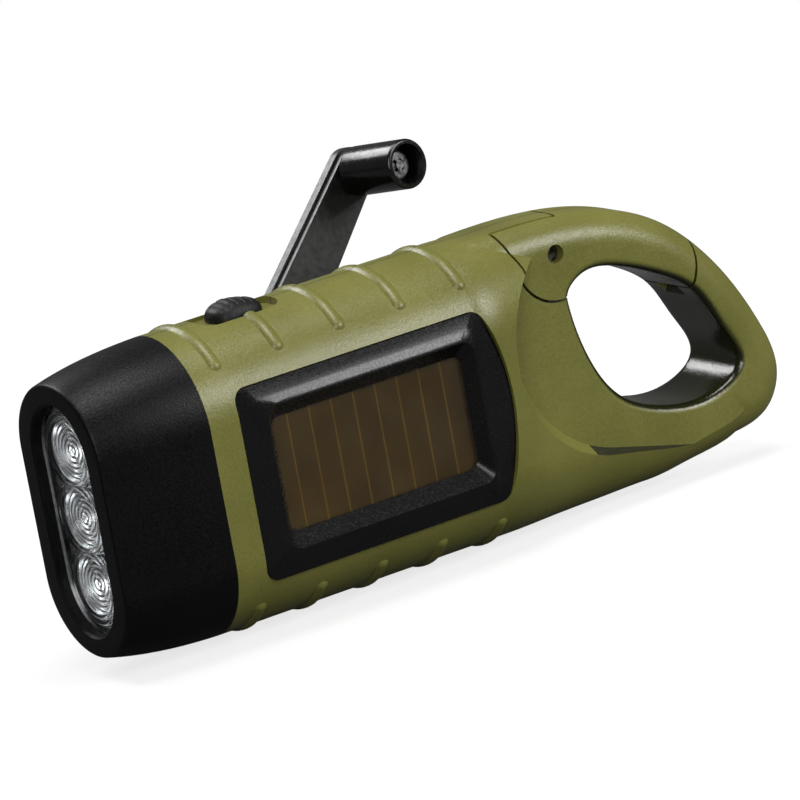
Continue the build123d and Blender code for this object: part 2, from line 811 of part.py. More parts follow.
def crank_knob():
    base = arm_thick / 2 + 0.3
    knob = Pos(arm_length, 0, base + knob_length / 2) * Cylinder(knob_radius, knob_length)
    knob = fillet([e for e in knob.edges() if e.geom_type == GeomType.CIRCLE], 0.5)
    knob -= Pos(arm_length, 0, base) * Cylinder(stem_radius + running_gap, 60)
    knob -= Pos(arm_length, 0, knob_tip) * Cylinder(knob_bore, 2 * knob_bore_depth)
    return only_solid(crank_plane(lift) * knob)


def knob_screw():
    head = Pos(arm_length, 0, stem_top + 0.8) * Cylinder(knob_bore - 0.8, 1.6)
    head = fillet([e for e in head.edges() if e.geom_type == GeomType.CIRCLE and e.center().Z > stem_top + 1], 0.7)
    for size in ((2.6, 0.6), (0.6, 2.6)):
        head -= Pos(arm_length, 0, stem_top + 1.5) * Box(size[0], size[1], 1.4)
    shank = Pos(arm_length, 0, stem_top - 2) * Cylinder(knob_screw_radius, 8)
    return only_solid(crank_plane(lift) * (head + shank))


def crank_hub():
    """Disc, shaft and the two ears that hold the fold's pin."""
    hub = cylinder_y(hub_place, hub_radius, disc_low, disc_low + hub_thick)
    hub += cylinder_y(hub_place, hub_shaft_radius, gear_levels[0], disc_low + 0.1)
    ear_low = knuckle_half + fit_gap
    plane = crank_plane(0)
    drop = hinge_y - disc_low - 0.3
    for side in (1, -1):
        middle = side * (ear_low + ear_thick / 2)
        ear = Pos(0, middle, 0) * Rot(90, 0, 0) * Cylinder(ear_radius, ear_thick)
        flat = Plane(origin=(0, middle - ear_thick / 2, 0), x_dir=(1, 0, 0), z_dir=(0, -1, 0)) * (
            make_face(Wire([Line(a, b) for a, b in zip(foot_points(drop), foot_points(drop)[1:])])))
        ear += extrude(flat, ear_thick, dir=(0, 1, 0))
        hub += plane * ear
    hub -= plane * bar_y(hinge_pin_radius, ear_low + ear_thick + 1)
    hub -= cylinder_y(hub_place, hub_screw_radius, gear_levels[0] - 1, gear_levels[0] + 4)
    flat_cut = hub_shaft_radius - 0.5
    hub -= block(hub_x + flat_cut, hub_x + 4, gear_levels[0] - 1, gear_top + 0.05, -4, 4)
    return only_solid(hub)


def foot_points(drop):
    """Side view of an ear's foot, from the pin down to the disc."""
    wide = ear_radius + 1.6
    return [(-ear_radius, 0), (ear_radius, 0), (wide, drop), (-wide, drop), (-ear_radius, 0)]


def hinge_pin():
    return crank_plane(0) * bar_y(hinge_pin_radius, knuckle_half + fit_gap + ear_thick)


# ---- gear train ---------------------------------------------------------------------------------

def involute(angle):
    return math.tan(angle) - angle


def gear_wheel(place, teeth, phase, low, thick):
    """A spur gear about Y whose tooth 0 points phase degrees from +X towards +Z."""
    pitch = pitch_radius(teeth)
    base = pitch * math.cos(math.radians(20))
    root, tip = pitch - 1.25 * module, pitch + module
    half_tooth = math.pi / 2 / teeth - tooth_backlash / 4 / pitch
    radii = [root] + [r for r in (base, (base + pitch) / 2, pitch, (pitch + tip) / 2) if r > root] + [tip]
    flank = []
    for r in radii:
        lean_in = involute(math.acos(base / r)) if r > base else 0.0
        flank.append((r, half_tooth + involute(math.radians(20)) - lean_in))
    points = []
    for i in range(teeth):
        middle = math.radians(phase + 360.0 * i / teeth)
        for r, half in flank:
            points.append((place[0] + r * math.cos(middle - half), place[1] + r * math.sin(middle - half)))
        for r, half in reversed(flank):
            points.append((place[0] + r * math.cos(middle + half), place[1] + r * math.sin(middle + half)))
    outline = Polyline(*points, close=True)
    return prism_y(outline.edges(), low, low + thick)


def meshed_phase(phase, teeth, turn, other_teeth):
    """The phase that puts a gap of the next gear on this gear's tooth, along the line at turn."""
    offset = ((turn - phase) * teeth / 360.0) % 1.0
    return turn + 180.0 - (0.5 - offset) * 360.0 / other_teeth


def gear_phases():
    one = meshed_phase(0.0, crank_teeth, train_turns[0], pinion_teeth)
    two = meshed_phase(0.0, wheel_one_teeth, train_turns[1], pinion_teeth)
    rotor = meshed_phase(0.0, wheel_two_teeth, train_turns[2], pinion_teeth)
    return one, two, rotor


def crank_gear():
    wheel = gear_wheel(hub_place, crank_teeth, 0.0, gear_levels[0], face_width)
    bore = cylinder_y(hub_place, hub_shaft_radius, gear_levels[0] - 1, gear_top + 1)
    flat_cut = hub_shaft_radius - 0.5
    bore -= block(hub_x + flat_cut, hub_x + 4, gear_levels[0] - 2, gear_top + 2, -4, 4)
    return only_solid(wheel - bore)


def step_gear(place, level, pinion_phase, wheel_teeth):
    """A moulded wheel and pinion that turn together on an axle."""
    high, low = gear_levels[level], gear_levels[level + 1]
    gear = gear_wheel(place, pinion_teeth, pinion_phase, high, face_width)
    gear += gear_wheel(place, wheel_teeth, 0.0, low, face_width)
    gear += cylinder_y(place, pitch_radius(pinion_teeth) - 1.25 * module - 0.05, low + face_width, high)
    gear += cylinder_y(place, 1.8, plate_top + fit_gap, low)
    return only_solid(gear - cylinder_y(place, axle_radius + running_gap, 0, half_width))


def axle(place):
    return cylinder_y(place, axle_radius, plate_top - plate_thick, axle_top)


def gear_plate():
    corners = [(50.8, 19.0), (73.0, 19.0), (79.8, 12.2), (79.8, -14.8), (50.8, -14.8), (50.8, 19.0)]
    plate = prism_y(Polyline(*corners).edges(), plate_top - plate_thick, plate_top)
    for place in plate_posts:
        plate -= cylinder_y(place, plate_screw_radius + 0.2, 0, half_width)
    for place in (one_place, two_place):
        plate -= cylinder_y(place, axle_radius, 0, half_width)
    return plate - cylinder_y(rotor_place, rotor_shaft_radius + running_gap, 0, half_width)


def plate_screws():
    low = plate_top - plate_thick
    shapes = []
    for place in plate_posts:
        screw = cylinder_y(place, plate_screw_radius, low, plate_top + 4)
        screw += cylinder_y(place, 1.9, low - 1.2, low)
        shapes.append(screw - cross_slot(place, low - 1.2, -1))
    return Compound(shapes)


def hub_screw():
    low = gear_levels[0] - washer_thick
    screw = cylinder_y(hub_place, hub_screw_radius, low, gear_levels[0] + 3.6)
    screw += cylinder_y(hub_place, 2.4, low - 1.4, low)
    return screw - cross_slot(hub_place, low - 1.4, -1)


def hub_washer():
    return ring_y(hub_place, 4.2, hub_screw_radius + 0.1, gear_levels[0] - washer_thick, gear_levels[0])


# ---- generator ----------------------------------------------------------------------------------

def generator_can():
    low, high = can_low, plate_top - plate_thick
    can = cylinder_y(rotor_place, can_radius, low, high)
    can -= cylinder_y(rotor_place, can_radius - can_wall, low + can_wall, high + 1)
    return can - cylinder_y(rotor_place, rotor_shaft_radius + running_gap, low - 1, high)


def coil_bobbin():
    inner, outer = magnet_radius + air_gap, can_radius - can_wall
    bobbin = ring_y(rotor_place, outer, inner, can_low + can_wall, magnet_high + 0.8)
    return bobbin - ring_y(rotor_place, outer + 1, inner + 0.8, can_low + can_wall + 0.8, magnet_high)


def generator_coil():
    inner = magnet_radius + air_gap + 0.8
    return ring_y(rotor_place, can_radius - can_wall - 0.3, inner, can_low + can_wall + 0.8, magnet_high)


def rotor_magnet():
    return ring_y(rotor_place, magnet_radius, rotor_shaft_radius, magnet_high - magnet_length, magnet_high)


def rotor_shaft():
    return cylinder_y(rotor_place, rotor_shaft_radius, can_low - 0.5, gear_levels[2] + face_width + 0.2)


def rotor_pinion(phase):
    pinion = gear_wheel(rotor_place, pinion_teeth, phase, gear_levels[2], face_width)
    return pinion - cylinder_y(rotor_place, rotor_shaft_radius, 0, half_width)


# ---- boards and cells -----------------------------------------------------------------------------

def main_board():
    board = block(board_start, board_end, main_board_y - board_thick, main_board_y, -14.0, 14.0)
    return board


def button_cell(index):
    top = battery_top - index * cell_height
    cell = Pos(battery_x, 0, top - cell_height / 2) * Cylinder(cell_radius, cell_height)
    return cell


def cell_sleeve():
    length = cell_count * cell_height
    middle = (battery_x, 0, battery_top - length / 2)
    return Pos(*middle) * (Cylinder(cell_radius + 0.2, length) - Cylinder(cell_radius, length + 2))


def battery_cradle():
    length = cell_count * cell_height - 2
    low = battery_top - 1 - length
    reach = cell_radius + 0.2
    cradle = block(battery_x - reach, battery_x + reach, main_board_y, -4.0, low, low + length)
    return cradle - Pos(battery_x, 0, low) * Cylinder(reach, 60)


def capacitor():
    return cylinder_y((48.5, -9.5), 3.15, main_board_y, main_board_y + 7)


def charge_chip():
    return block(46, 51, main_board_y, main_board_y + 1.6, 4, 8)


def rectifier():
    places = [(54, 11), (58, 11), (54, 7.5), (58, 7.5)]
    return Compound([block(x - 1.4, x + 1.4, main_board_y, main_board_y + 1.1, z - 0.8, z + 0.8) for x, z in places])


def all_parts():
    gate, casing = gate_and_casing(casing_outside())
    casing = hollow_casing(casing)
    one_phase, two_phase, rotor_phase = gear_phases()
    parts = {
        "head_bezel": head_bezel(),
        "lens": lens(),
        "reflector": reflector(),
        "lamp_board": lamp_board(),
        "left_shell": left_shell(casing),
        "right_shell": right_shell(casing),
        "casing_screws": casing_screws(),
        "gate": gate,
        "gate_pin": gate_pin(),
        "gate_spring": gate_spring(),
        "panel_frame": panel_frame(),
        "panel_window": panel_sheet(window_front, window_thick),
        "solar_cell": panel_sheet(window_front - window_thick, cell_thick),
        "switch_slider": switch_slider(),
        "switch_lever": switch_lever(),
        "switch_case": switch_case(),
        "switch_board": switch_board(),
        "crank_arm": crank_arm(),
        "crank_knob": crank_knob(),
        "knob_screw": knob_screw(),
        "crank_hub": crank_hub(),
        "hinge_pin": hinge_pin(),
        "crank_gear": crank_gear(),
        "hub_screw": hub_screw(),
        "hub_washer": hub_washer(),
        "first_gear": step_gear(one_place, 0, one_phase, wheel_one_teeth),
        "second_gear": step_gear(two_place, 1, two_phase, wheel_two_teeth),
        "first_axle": axle(one_place),
        "second_axle": axle(two_place),
        "gear_plate": gear_plate(),
        "plate_screws": plate_screws(),
        "generator_can": generator_can(),
        "coil_bobbin": coil_bobbin(),
        "generator_coil": generator_coil(),
        "rotor_magnet": rotor_magnet(),
        "rotor_shaft": rotor_shaft(),
        "rotor_pinion": rotor_pinion(rotor_phase),
        "main_board": main_board(),
        "cell_sleeve": cell_sleeve(),
        "battery_cradle": battery_cradle(),
        "capacitor": capacitor(),
        "charge_chip": charge_chip(),
        "rectifier": rectifier(),
    }
    for i, name in enumerate(("top", "middle", "bottom")):
        parts["lamp_" + name] = lamp(lamp_heights[i])
        parts["button_cell_" + name] = button_cell(i)
    return parts


os.makedirs("parts", exist_ok=True)
for part_name, part_shape in all_parts().items():
    export_step(part_shape, "parts/" + part_name + ".step")
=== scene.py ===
import bpy
import json
import math
import numpy as np
from mathutils import Matrix, Vector


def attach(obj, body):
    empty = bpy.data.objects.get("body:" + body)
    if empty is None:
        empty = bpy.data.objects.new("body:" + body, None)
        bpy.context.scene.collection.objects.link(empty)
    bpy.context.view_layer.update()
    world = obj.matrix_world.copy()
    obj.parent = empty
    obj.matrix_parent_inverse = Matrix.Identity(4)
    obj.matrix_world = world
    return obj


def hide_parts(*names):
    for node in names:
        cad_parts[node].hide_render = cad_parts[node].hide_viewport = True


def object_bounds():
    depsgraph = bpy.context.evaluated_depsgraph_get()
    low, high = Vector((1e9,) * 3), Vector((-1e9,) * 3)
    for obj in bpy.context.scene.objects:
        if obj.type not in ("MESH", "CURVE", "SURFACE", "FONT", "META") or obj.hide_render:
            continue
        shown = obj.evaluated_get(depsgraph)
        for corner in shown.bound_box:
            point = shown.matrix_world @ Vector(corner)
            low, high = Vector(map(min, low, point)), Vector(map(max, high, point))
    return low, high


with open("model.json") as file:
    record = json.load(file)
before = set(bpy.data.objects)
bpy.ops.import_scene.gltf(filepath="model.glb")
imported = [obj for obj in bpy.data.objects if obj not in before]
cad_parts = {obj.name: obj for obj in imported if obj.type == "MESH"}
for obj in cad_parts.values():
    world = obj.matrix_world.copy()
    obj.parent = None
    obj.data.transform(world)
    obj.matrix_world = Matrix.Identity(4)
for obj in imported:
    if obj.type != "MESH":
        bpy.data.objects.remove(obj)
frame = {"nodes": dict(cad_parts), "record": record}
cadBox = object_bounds()
mm = 0.001
print("frame loaded", len(frame["nodes"]), "nodes")


# sRGB hex to linear: a straight part near black, a power of 2.4 above it
def linear(hexText):
    values = [int(hexText[i:i + 2], 16) / 255 for i in (1, 3, 5)]
    return [v / 12.92 if v <= 0.04045 else ((v + 0.055) / 1.055) ** 2.4 for v in values] + [1.0]


# One node with its settings. Each link is a socket's name, with _ for a space, or i and its
# number, and the value or the socket that goes into it.
def addNode(tree, kind, settings=None, **links):
    node = tree.nodes.new(kind)
    for name, value in (settings or {}).items():
        setattr(node, name, value)
    for name, value in links.items():
        key = int(name[1:]) if name[0] == "i" and name[1:].isdigit() else name.replace("_", " ")
        if isinstance(value, bpy.types.NodeSocket):
            tree.links.new(value, node.inputs[key])
        else:
            node.inputs[key].default_value = value
    return node


def calculate(tree, operation, *values):
    inputs = {f"i{index}": value for index, value in enumerate(values)}
    return addNode(tree, "ShaderNodeMath", {"operation": operation}, **inputs).outputs[0]


def vectorWork(tree, operation, *values):
    inputs = {f"i{index}": value for index, value in enumerate(values)}
    node = addNode(tree, "ShaderNodeVectorMath", {"operation": operation}, **inputs)
    return node.outputs["Value" if operation in ("DOT_PRODUCT", "LENGTH") else "Vector"]


def mixColour(tree, factor, first, second):
    return addNode(tree, "ShaderNodeMix", {"data_type": "RGBA"}, i0=factor, i6=first, i7=second).outputs[2]


def mixShaders(tree, factor, first, second):
    return addNode(tree, "ShaderNodeMixShader", i0=factor, i1=first.outputs[0], i2=second.outputs[0])


def ramp(tree, factor, stops):
    node = addNode(tree, "ShaderNodeValToRGB", Fac=factor)
    while len(node.color_ramp.elements) < len(stops):
        node.color_ramp.elements.new(0.5)
    for element, (place, colour) in zip(node.color_ramp.elements, stops):
        element.position = place
        element.color = colour if isinstance(colour, list) else (colour, colour, colour, 1)
    return node.outputs["Color"]


# A new material, its empty node tree and the object coordinates that its patterns use
def newMaterial(name):
    material = bpy.data.materials.new(name)
    material.use_nodes = True
    tree = material.node_tree
    tree.nodes.clear()
    return material, tree, addNode(tree, "ShaderNodeTexCoord").outputs["Object"]


def finishMaterial(tree, shader):
    addNode(tree, "ShaderNodeOutputMaterial", Surface=shader.outputs[0])


# Noise scale, in cycles per metre, for a pattern of that size in mm
def perMm(size):
    return 1.0 / (size * mm)


# refractive indexes of moulded and of clear plastic
plasticIndex = 1.5
acrylicIndex = 1.49

# Moulded plastic: one colour that drifts a little, over a spark-eroded grain whose pits glint.
# Grain and bump are in mm.
mouldedSettings = {
    "olive": {"dark": "#616029", "light": "#6F6E34", "rough": (0.3, 0.42),
              "grain": 0.42, "bump": 0.07, "shine": 0.5},
    "black": {"dark": "#040404", "light": "#0B0B0B", "rough": (0.3, 0.5),
              "grain": 0.35, "bump": 0.08, "shine": 0.15},
    "satin": {"dark": "#050505", "light": "#0C0C0D", "rough": (0.2, 0.3),
              "grain": 0.4, "bump": 0.01, "shine": 0.4},
    "gloss": {"dark": "#050505", "light": "#0A0A0A", "rough": (0.16, 0.26),
              "grain": 0.8, "bump": 0.015, "shine": 0.5},
    "grip": {"dark": "#0A0A0A", "light": "#131313", "rough": (0.45, 0.6),
             "grain": 0.35, "bump": 0.02, "shine": 0.25},
    "worn": {"dark": "#060606", "light": "#0D0D0D", "rough": (0.32, 0.42),
             "grain": 1.2, "bump": 0.012, "shine": 0.6},
    "nylon": {"dark": "#CFCDC4", "light": "#E0DED6", "rough": (0.35, 0.45),
              "grain": 0.6, "bump": 0.02, "shine": 0.5},
    "sleeve": {"dark": "#14502A", "light": "#1C6A38", "rough": (0.25, 0.35),
               "grain": 0.9, "bump": 0.01, "shine": 0.5},
    "epoxy": {"dark": "#0C0C0C", "light": "#161616", "rough": (0.5, 0.6),
              "grain": 0.3, "bump": 0.02, "shine": 0.4},
    "mask": {"dark": "#0A3A1C", "light": "#0E4A25", "rough": (0.25, 0.35),
             "grain": 0.8, "bump": 0.01, "shine": 0.5},
}
mouldedNoise = {"drift": 14, "detail": 2.0, "fineness": 0.6, "low": 0.35, "high": 0.65, "strength": 0.6}


# Colour, roughness and bump of a moulded plastic
def mouldedNodes(tree, place, key):
    s = mouldedSettings[key]
    n = mouldedNoise
    broad = addNode(tree, "ShaderNodeTexNoise", Vector=place, Scale=perMm(n["drift"]), Detail=n["detail"])
    fine = addNode(tree, "ShaderNodeTexNoise", Vector=place, Scale=perMm(s["grain"]),
                   Detail=n["detail"], Roughness=n["fineness"])
    both = calculate(tree, "ADD", broad.outputs[0], fine.outputs[0])
    half = calculate(tree, "MULTIPLY", both, 0.5)
    colour = ramp(tree, half, [(n["low"], linear(s["dark"])), (n["high"], linear(s["light"]))])
    rough = ramp(tree, fine.outputs[0], [(n["low"], s["rough"][0]), (n["high"], s["rough"][1])])
    bump = addNode(tree, "ShaderNodeBump", Height=fine.outputs[0], Strength=n["strength"],
                   Distance=s["bump"] * mm)
    return colour, rough, bump.outputs[0]


def mouldedPlastic(name, key):
    material, tree, place = newMaterial(name)
    colour, rough, bump = mouldedNodes(tree, place, key)
    shader = addNode(tree, "ShaderNodeBsdfPrincipled", Base_Color=colour, Roughness=rough, Normal=bump,
                     IOR=plasticIndex, Specular_IOR_Level=mouldedSettings[key]["shine"])
    finishMaterial(tree, shader)
    return material


# The eye's inner faces are polished and carry painted shade, and the two shells meet in a fine dark seam.
# Centre, start and seam are in mm.
eyeSettings = {
    "centre": (116.0, 0.0, 1.0), "start": 98.0, "turned": (0.25, 0.6),
    # dark is the colour of the painted shade on the eye's inner faces; rough is their real polish
    "dark": "#1A1C0A", "rough": 0.14, "seam": 0.11, "seamColour": "#15170A",
}


# The olive plastic of the casing, with painted shade on the eye's inner faces. A face is inside the eye where
# it lies behind the eye's start and its normal turns towards the eye's middle.
def casingPlastic(name):
    s = eyeSettings
    material, tree, place = newMaterial(name)
    colour, rough, bump = mouldedNodes(tree, place, "olive")
    normal = addNode(tree, "ShaderNodeNewGeometry").outputs["Normal"]
    outward = vectorWork(tree, "SUBTRACT", place, tuple(v * mm for v in s["centre"]))
    flat = vectorWork(tree, "MULTIPLY", outward, (1, 0, 1))
    facing = vectorWork(tree, "DOT_PRODUCT", vectorWork(tree, "NORMALIZE", flat), normal)
    inward = calculate(tree, "MULTIPLY", facing, -1.0)
    parts = addNode(tree, "ShaderNodeSeparateXYZ", Vector=place)
    behind = calculate(tree, "GREATER_THAN", parts.outputs["X"], s["start"] * mm)
    turned = ramp(tree, inward, [(s["turned"][0], 0.0), (s["turned"][1], 1.0)])
    inner = calculate(tree, "MULTIPLY", turned, behind)
    away = calculate(tree, "ABSOLUTE", parts.outputs["Y"])
    seam = calculate(tree, "LESS_THAN", away, s["seam"] * mm)
    # painted shade: the faces turned into the eye are darkened towards the dark colour
    paintedEyeShade = mixColour(tree, inner, colour, linear(s["dark"]))
    seamed = mixColour(tree, seam, paintedEyeShade, linear(s["seamColour"]))
    smoother = mixColour(tree, inner, rough, (s["rough"],) * 3 + (1,))
    shader = addNode(tree, "ShaderNodeBsdfPrincipled", Base_Color=seamed, Roughness=smoother, Normal=bump,
                     IOR=plasticIndex, Specular_IOR_Level=mouldedSettings["olive"]["shine"])
    finishMaterial(tree, shader)
    return material


metalSettings = {
    "zinc": {"dark": "#77797B", "light": "#A3A5A7", "rough": (0.3, 0.45)},
    "dull": {"dark": "#1E1D1A", "light": "#5A5850", "rough": (0.4, 0.7)},
    "worn": {"dark": "#3A3A3A", "light": "#8E8E8C", "rough": (0.3, 0.6)},
    "chrome": {"dark": "#C4C7CA", "light": "#F0F1F2", "rough": (0.16, 0.26)},
    "copper": {"dark": "#8A4522", "light": "#B5652F", "rough": (0.3, 0.4)},
    "sintered": {"dark": "#2C2C2E", "light": "#48484A", "rough": (0.45, 0.6)},
}
metalNoise = {"grain": 0.7, "detail": 3.0, "low": 0.3, "high": 0.7}


def metal(name, key):
    s = metalSettings[key]
    n = metalNoise
    material, tree, place = newMaterial(name)
    fine = addNode(tree, "ShaderNodeTexNoise", Vector=place, Scale=perMm(n["grain"]), Detail=n["detail"])
    colour = ramp(tree, fine.outputs[0], [(n["low"], linear(s["dark"])), (n["high"], linear(s["light"]))])
    rough = ramp(tree, fine.outputs[0], [(n["low"], s["rough"][0]), (n["high"], s["rough"][1])])
    shader = addNode(tree, "ShaderNodeBsdfPrincipled", Base_Color=colour, Roughness=rough, Metallic=1.0)
    finishMaterial(tree, shader)
    return material


# grain and bump in mm
clearSettings = {
    "acrylic": {"dark": "#F4F7F8", "light": "#FFFFFF", "rough": 0.02, "grain": 6.0, "bump": 0.0},
    "epoxy": {"dark": "#EDEBDD", "light": "#FCFBF4", "rough": 0.05, "grain": 0.7, "bump": 0.12},
    "amber": {"dark": "#E6DCC0", "light": "#F3EBD6", "rough": 0.03, "grain": 6.0, "bump": 0.0},
}
clearNoise = {"detail": 1.0, "low": 0.3, "high": 0.7, "strength": 0.5}


# Polished clear plastic: it bends what is seen through it and lets the lamps' light pass.
def clearPlastic(name, key):
    s = clearSettings[key]
    n = clearNoise
    material, tree, place = newMaterial(name)
    grain = addNode(tree, "ShaderNodeTexNoise", Vector=place, Scale=perMm(s["grain"]), Detail=n["detail"])
    colour = ramp(tree, grain.outputs[0], [(n["low"], linear(s["dark"])), (n["high"], linear(s["light"]))])
    bump = addNode(tree, "ShaderNodeBump", Height=grain.outputs[0], Strength=n["strength"],
                   Distance=s["bump"] * mm)
    body = addNode(tree, "ShaderNodeBsdfPrincipled", Base_Color=colour, Roughness=s["rough"],
                   IOR=acrylicIndex, Transmission_Weight=1.0, Normal=bump.outputs[0])
    through = addNode(tree, "ShaderNodeBsdfTransparent", Color=colour)
    path = addNode(tree, "ShaderNodeLightPath")
    passing = calculate(tree, "MAXIMUM", path.outputs["Is Shadow Ray"], path.outputs["Is Diffuse Ray"])
    finishMaterial(tree, mixShaders(tree, passing, body, through))
    return material


# pitch, line, first and drift in mm
solarSettings = {
    "pitch": 4.46, "line": 0.3, "first": 36.9, "rough": 0.35,
    "dark": "#2C2306", "light": "#3D3009", "stripe": "#66551E",
    "drift": 9, "detail": 2.0, "low": 0.3, "high": 0.7,
}


# Amorphous silicon on glass: a brown film cut by fine pale lines across X
def amorphousCell(name):
    s = solarSettings
    material, tree, place = newMaterial(name)
    across = addNode(tree, "ShaderNodeSeparateXYZ", Vector=place).outputs["X"]
    offset = calculate(tree, "SUBTRACT", across, (s["first"] - s["line"] / 2) * mm)
    cycle = calculate(tree, "FLOORED_MODULO", offset, s["pitch"] * mm)
    line = calculate(tree, "LESS_THAN", cycle, s["line"] * mm)
    broad = addNode(tree, "ShaderNodeTexNoise", Vector=place, Scale=perMm(s["drift"]), Detail=s["detail"])
    film = ramp(tree, broad.outputs[0], [(s["low"], linear(s["dark"])), (s["high"], linear(s["light"]))])
    banded = mixColour(tree, line, film, linear(s["stripe"]))
    shader = addNode(tree, "ShaderNodeBsdfPrincipled", Base_Color=banded, Roughness=s["rough"],
                     IOR=plasticIndex)
    finishMaterial(tree, shader)
    return material


# one material per slot of the record, named for the real material
slotMaterials = {
    "green_plastic": casingPlastic("oliveAbs"),
    "black_plastic": mouldedPlastic("blackAbs", "black"),
    "gloss_black": mouldedPlastic("glossBlackNylon", "gloss"),
    "white_gear": mouldedPlastic("whiteAcetal", "nylon"),
    "sleeve_green": mouldedPlastic("shrinkSleeve", "sleeve"),
    "chip_black": mouldedPlastic("chipEpoxy", "epoxy"),
    "board_green": mouldedPlastic("solderMask", "mask"),
    "steel": metal("zincSteel", "zinc"),
    "reflector_chrome": metal("vacuumChrome", "chrome"),
    "copper_coil": metal("enamelledCopper", "copper"),
    "magnet": metal("sinteredMagnet", "sintered"),
    "clear_lens": clearPlastic("clearAcrylic", "acrylic"),
    "lamp_clear": clearPlastic("ledEpoxy", "epoxy"),
    "panel_window": clearPlastic("panelAcrylic", "amber"),
    "solar_cell": amorphousCell("amorphousCell"),
}

# pieces whose finish differs from the rest of their slot
finishOf = {
    "panel_frame": mouldedPlastic("satinBlackAbs", "satin"),
    "switch_slider": mouldedPlastic("mattBlackAbs", "grip"),
    "crank_arm": mouldedPlastic("handledBlackNylon", "worn"),
    "gate_pin": metal("dullPin", "dull"),
    "knob_screw": metal("dullScrew", "worn"),
}
print("materials made")

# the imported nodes: welded, and smooth except across edges sharper than this many degrees
dressSettings = {"weld": 0.002, "sharp": 24}


def makeSmooth(mesh, smooth=True):
    mesh.polygons.foreach_set("use_smooth", np.full(len(mesh.polygons), smooth))


def dressNode(thing, material):
    thing.data.materials.clear()
    thing.data.materials.append(material)
    makeSmooth(thing.data)
    weld = thing.modifiers.new("weld", "WELD")
    weld.merge_threshold = dressSettings["weld"] * mm
    split = thing.modifiers.new("sharpEdges", "EDGE_SPLIT")
    split.split_angle = math.radians(dressSettings["sharp"])


slotOf = {entry["node"]: entry["material_slot"] for entry in frame["record"]["subparts"]}
for nodeName, thing in frame["nodes"].items():
    dressNode(thing, finishOf.get(nodeName, slotMaterials[slotOf[nodeName]]))
print("nodes dressed")


# A smooth closed mesh from points in mm, its faces turned outward, riding on a body. A corner
# of -1 ends a face early.
def addPiece(name, points, faces, material, body):
    mesh = bpy.data.meshes.new(name)
    corners = points[faces[:, :3]]
    volume = np.einsum("ij,ij->i", corners[:, 0], np.cross(corners[:, 1], corners[:, 2])).sum()
    ordered = faces if volume > 0 else faces[:, ::-1]
    mesh.from_pydata((points * mm).tolist(), [], [[i for i in face if i >= 0] for face in ordered.tolist()])
    makeSmooth(mesh)
    mesh.materials.append(material)
    piece = bpy.data.objects.new(name, mesh)
    bpy.context.scene.collection.objects.link(piece)
    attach(piece, body)
    return piece


# Points and faces of a closed solid through rings of equal count, with a pole at each end
def ringSolid(rings, first, last):
    count, around = rings.shape[:2]
    points = np.concatenate([rings.reshape(-1, 3), [first, last]])
    here = np.arange(around)
    beside = (here + 1) % around
    rows = np.arange(count - 1)[:, None] * around
    walls = np.stack([rows + here, rows + beside, rows + around + beside, rows + around + here], axis=-1)
    none = np.full(around, -1)
    firstPole = np.full(around, count * around)
    lastRing = (count - 1) * around
    low = np.stack([firstPole, beside, here, none], axis=-1)
    high = np.stack([firstPole + 1, here + lastRing, beside + lastRing, none], axis=-1)
    return points, np.concatenate([walls.reshape(-1, 4), low, high])


# The lens, in mm: a plug in the rim's mouth with a bulge over each lamp, and a flange behind
# the rim. Around, steps and inner say how finely its surfaces are divided.
lensSettings = {
    "front": 1.9, "step": 3.3, "back": 4.58, "halfWidth": 8.7, "halfHeight": 20.1, "rise": 9.5, "flange": 1.3,
    "lamps": (11.7, 0.0, -11.7), "radius": 5.45, "bulge": 0.9, "rim": 0.3, "rimOut": 0.15, "rimWide": 0.2,
    "contour": 6.75, "contourHigh": 0.28, "ridge": 0.12, "ridgePitch": 0.85, "ridgeReach": 4.9,
    "around": 360, "steps": 110, "inner": 0.01,
}


# Distance from the middle to the mouth's outline at each angle from +Z: the flat side where it
# is met first, or else the far root of the quadratic where the ray meets the half ellipse.
def lensReach(angles):
    s = lensSettings
    sine, cosine = np.abs(np.sin(angles)), np.abs(np.cos(angles))
    flat = s["halfHeight"] - s["rise"]
    side = s["halfWidth"] / np.maximum(sine, 1e-6)
    a = (sine / s["halfWidth"]) ** 2 + (cosine / s["rise"]) ** 2
    b = -2 * flat * cosine / s["rise"] ** 2
    c = (flat / s["rise"]) ** 2 - 1
    end = (-b + np.sqrt(np.maximum(b * b - 4 * a * c, 0))) / (2 * a)
    return np.where(side * cosine <= flat, side, end)


# Front: a parabola over each lamp, with two round ridges outside it, each a bell curve of the
# distance from the nearest lamp's middle. Back: fine rings, a cosine of that distance.
def lensSurfaces(y, z):
    s = lensSettings
    away = np.min([np.hypot(y, z - lamp) for lamp in s["lamps"]], axis=0)
    dome = s["bulge"] * np.maximum(1 - (away / s["radius"]) ** 2, 0)
    rim = s["rim"] * np.exp(-((away - s["radius"] - s["rimOut"]) / s["rimWide"]) ** 2)
    contour = s["contourHigh"] * np.exp(-((away - s["contour"]) / s["rimWide"]) ** 2)
    rings = s["ridge"] * (0.5 + 0.5 * np.cos(2 * np.pi * away / s["ridgePitch"])) * (away < s["ridgeReach"])
    return s["front"] - dome - rim - contour, s["back"] - rings


